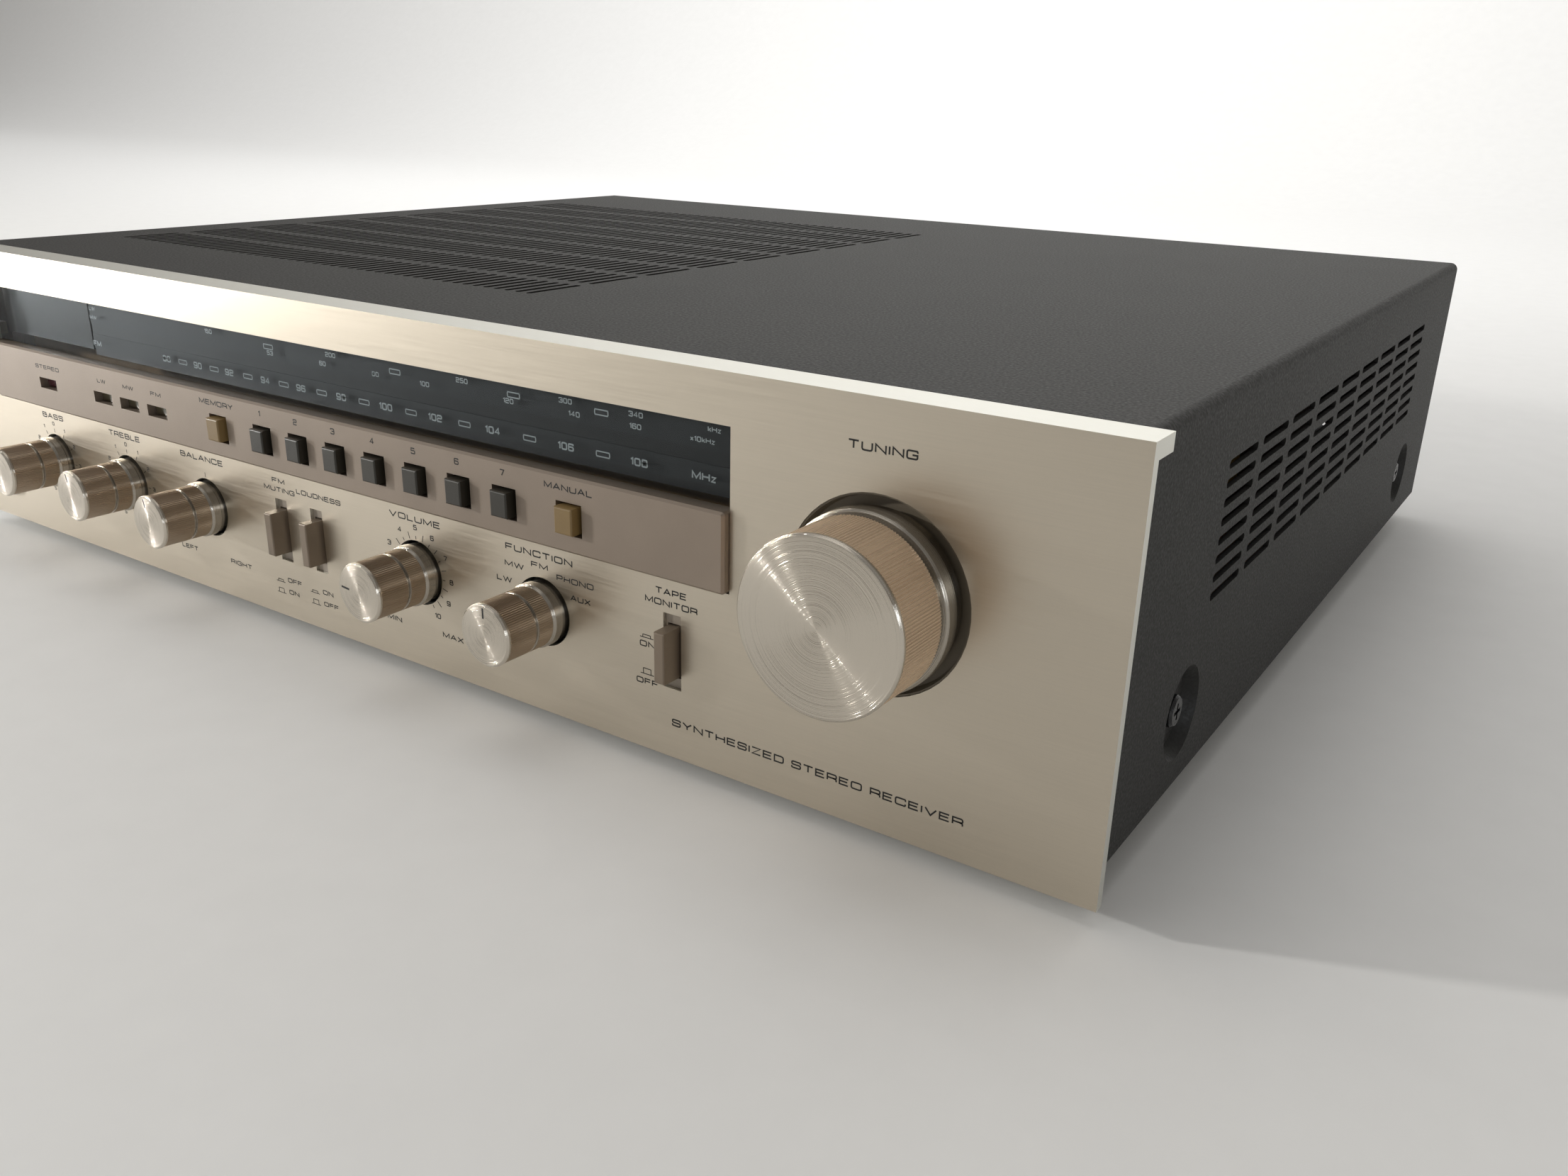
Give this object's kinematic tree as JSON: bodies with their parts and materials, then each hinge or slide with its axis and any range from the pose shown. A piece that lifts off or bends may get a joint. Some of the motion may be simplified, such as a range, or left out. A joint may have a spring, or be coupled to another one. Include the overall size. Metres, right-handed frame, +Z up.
{
  "type": "stereo receiver",
  "caption": "Slim silver-fronted stereo receiver with a dial window, turning knobs and push buttons, in a dark vented steel case over its chassis, transformer and boards.",
  "frame": {"origin": "under the middle of the object's box, on the surface its feet stand on", "axes": "+X to the right as seen from the front, +Y to the back, +Z up; the front panel faces -Y"},
  "size_m": [0.42, 0.3674, 0.098],
  "materials": {
    "panel_aluminium": "horizontally brushed satin, champagne silver",
    "bezel": "satin beige grey",
    "smoked_window": "smoked, glossy",
    "dial_print": "black printed scale",
    "display": "dark display glass",
    "led_red": "dark red lens",
    "recess_plastic": "grey brown",
    "surround_plastic": "light grey",
    "nickel": "bright nickel",
    "case_paint": "dark charcoal fine textured matte",
    "screw_black": "black",
    "zinc_steel": "zinc plated",
    "rear_paint": "black",
    "foot_rubber": "black",
    "pot_steel": "plated",
    "switch_plastic": "black",
    "circuit_board": "phenolic board",
    "nylon": "white",
    "components": "mixed",
    "tin_plate": "tinned",
    "sink_aluminium": "black anodised",
    "epoxy": "black",
    "laminations": "varnished laminations",
    "winding": "taped copper winding",
    "gland_plastic": "black",
    "knob_aluminium": "spun face, bright",
    "shaft_steel": "plain",
    "lever_plastic": "tan grey satin",
    "preset_plastic": "dark grey",
    "tan_plastic": "tan"
  },
  "bodies": {
    "receiver": {"amplifier_board": "circuit_board", "antenna_terminals": "switch_plastic", "board_components": "components", "board_standoffs": "nylon", "case_screws": "screw_black", "chassis_tray": "zinc_steel", "control_board": "circuit_board", "dial_glass": "smoked_window", "dial_scale": "dial_print", "feet": "foot_rubber", "filter_capacitors": "components", "frequency_display": "display", "front_chassis": "zinc_steel", "front_panel": "panel_aluminium", "function_switch": "switch_plastic", "fuse_holder": "switch_plastic", "headphone_jack": "nickel", "heat_sink": "sink_aluminium", "led_indicators": "led_red", "lever_surrounds": "surround_plastic", "mains_gland": "gland_plastic", "output_transistors": "epoxy", "phono_jacks": "nickel", "potentiometers": "pot_steel", "push_switches": "switch_plastic", "rear_panel": "rear_paint", "speaker_sockets": "switch_plastic", "sub_panel": "bezel", "top_cover": "case_paint", "transformer_core": "laminations", "transformer_winding": "winding", "tuner_board": "circuit_board", "tuner_shield": "tin_plate", "tuning_encoder": "pot_steel", "tuning_recess": "recess_plastic"},
    "tuning": {"tuning_knob": "knob_aluminium", "tuning_shaft": "shaft_steel"},
    "bass": {"bass_knob": "knob_aluminium", "bass_shaft": "shaft_steel"},
    "treble": {"treble_knob": "knob_aluminium", "treble_shaft": "shaft_steel"},
    "balance": {"balance_knob": "knob_aluminium", "balance_shaft": "shaft_steel"},
    "volume": {"volume_knob": "knob_aluminium", "volume_shaft": "shaft_steel"},
    "function": {"function_knob": "knob_aluminium", "function_shaft": "shaft_steel"},
    "fm_muting_button": {"fm_muting_button": "lever_plastic"},
    "loudness_button": {"loudness_button": "lever_plastic"},
    "tape_monitor_button": {"tape_monitor_button": "lever_plastic"},
    "power_button": {"power_button": "lever_plastic"},
    "memory_button": {"memory_button": "tan_plastic"},
    "preset_button_1": {"preset_button_1": "preset_plastic"},
    "preset_button_2": {"preset_button_2": "preset_plastic"},
    "preset_button_3": {"preset_button_3": "preset_plastic"},
    "preset_button_4": {"preset_button_4": "preset_plastic"},
    "preset_button_5": {"preset_button_5": "preset_plastic"},
    "preset_button_6": {"preset_button_6": "preset_plastic"},
    "preset_button_7": {"preset_button_7": "preset_plastic"},
    "manual_button": {"manual_button": "tan_plastic"}
  },
  "joints": [
    {"name": "tuning_turn", "type": "hinge", "parent": "receiver", "child": "tuning", "pos_m": [0.1571, -0.16195, 0.0574], "axis": [0, 1, 0], "continuous": true},
    {"name": "bass_turn", "type": "hinge", "parent": "receiver", "child": "bass", "pos_m": [-0.1581, -0.16195, 0.0312], "axis": [0, 1, 0], "range_deg": [-142, 158]},
    {"name": "treble_turn", "type": "hinge", "parent": "receiver", "child": "treble", "pos_m": [-0.1154, -0.16195, 0.0312], "axis": [0, 1, 0], "range_deg": [-142, 158]},
    {"name": "balance_turn", "type": "hinge", "parent": "receiver", "child": "balance", "pos_m": [-0.0737, -0.16195, 0.0312], "axis": [0, 1, 0], "range_deg": [-142, 158]},
    {"name": "volume_turn", "type": "hinge", "parent": "receiver", "child": "volume", "pos_m": [0.019, -0.16195, 0.0312], "axis": [0, 1, 0], "range_deg": [-65, 235]},
    {"name": "function_turn", "type": "hinge", "parent": "receiver", "child": "function", "pos_m": [0.0639, -0.16195, 0.0312], "axis": [0, 1, 0], "range_deg": [-60, 60]},
    {"name": "fm_muting_button_press", "type": "slide", "parent": "receiver", "child": "fm_muting_button", "axis": [0, 1, 0], "range_m": [0, 0.003], "stiffness_N_per_m": 200},
    {"name": "loudness_button_press", "type": "slide", "parent": "receiver", "child": "loudness_button", "axis": [0, 1, 0], "range_m": [0, 0.003], "stiffness_N_per_m": 200},
    {"name": "tape_monitor_button_press", "type": "slide", "parent": "receiver", "child": "tape_monitor_button", "axis": [0, 1, 0], "range_m": [0, 0.003], "stiffness_N_per_m": 200},
    {"name": "power_button_press", "type": "slide", "parent": "receiver", "child": "power_button", "axis": [0, 1, 0], "range_m": [0, 0.003], "stiffness_N_per_m": 200},
    {"name": "memory_button_press", "type": "slide", "parent": "receiver", "child": "memory_button", "axis": [0, 1, 0], "range_m": [0, 0.0015], "stiffness_N_per_m": 200},
    {"name": "preset_button_1_press", "type": "slide", "parent": "receiver", "child": "preset_button_1", "axis": [0, 1, 0], "range_m": [0, 0.0015], "stiffness_N_per_m": 200},
    {"name": "preset_button_2_press", "type": "slide", "parent": "receiver", "child": "preset_button_2", "axis": [0, 1, 0], "range_m": [0, 0.0015], "stiffness_N_per_m": 200},
    {"name": "preset_button_3_press", "type": "slide", "parent": "receiver", "child": "preset_button_3", "axis": [0, 1, 0], "range_m": [0, 0.0015], "stiffness_N_per_m": 200},
    {"name": "preset_button_4_press", "type": "slide", "parent": "receiver", "child": "preset_button_4", "axis": [0, 1, 0], "range_m": [0, 0.0015], "stiffness_N_per_m": 200},
    {"name": "preset_button_5_press", "type": "slide", "parent": "receiver", "child": "preset_button_5", "axis": [0, 1, 0], "range_m": [0, 0.0015], "stiffness_N_per_m": 200},
    {"name": "preset_button_6_press", "type": "slide", "parent": "receiver", "child": "preset_button_6", "axis": [0, 1, 0], "range_m": [0, 0.0015], "stiffness_N_per_m": 200},
    {"name": "preset_button_7_press", "type": "slide", "parent": "receiver", "child": "preset_button_7", "axis": [0, 1, 0], "range_m": [0, 0.0015], "stiffness_N_per_m": 200},
    {"name": "manual_button_press", "type": "slide", "parent": "receiver", "child": "manual_button", "axis": [0, 1, 0], "range_m": [0, 0.0015], "stiffness_N_per_m": 200}
  ]
}
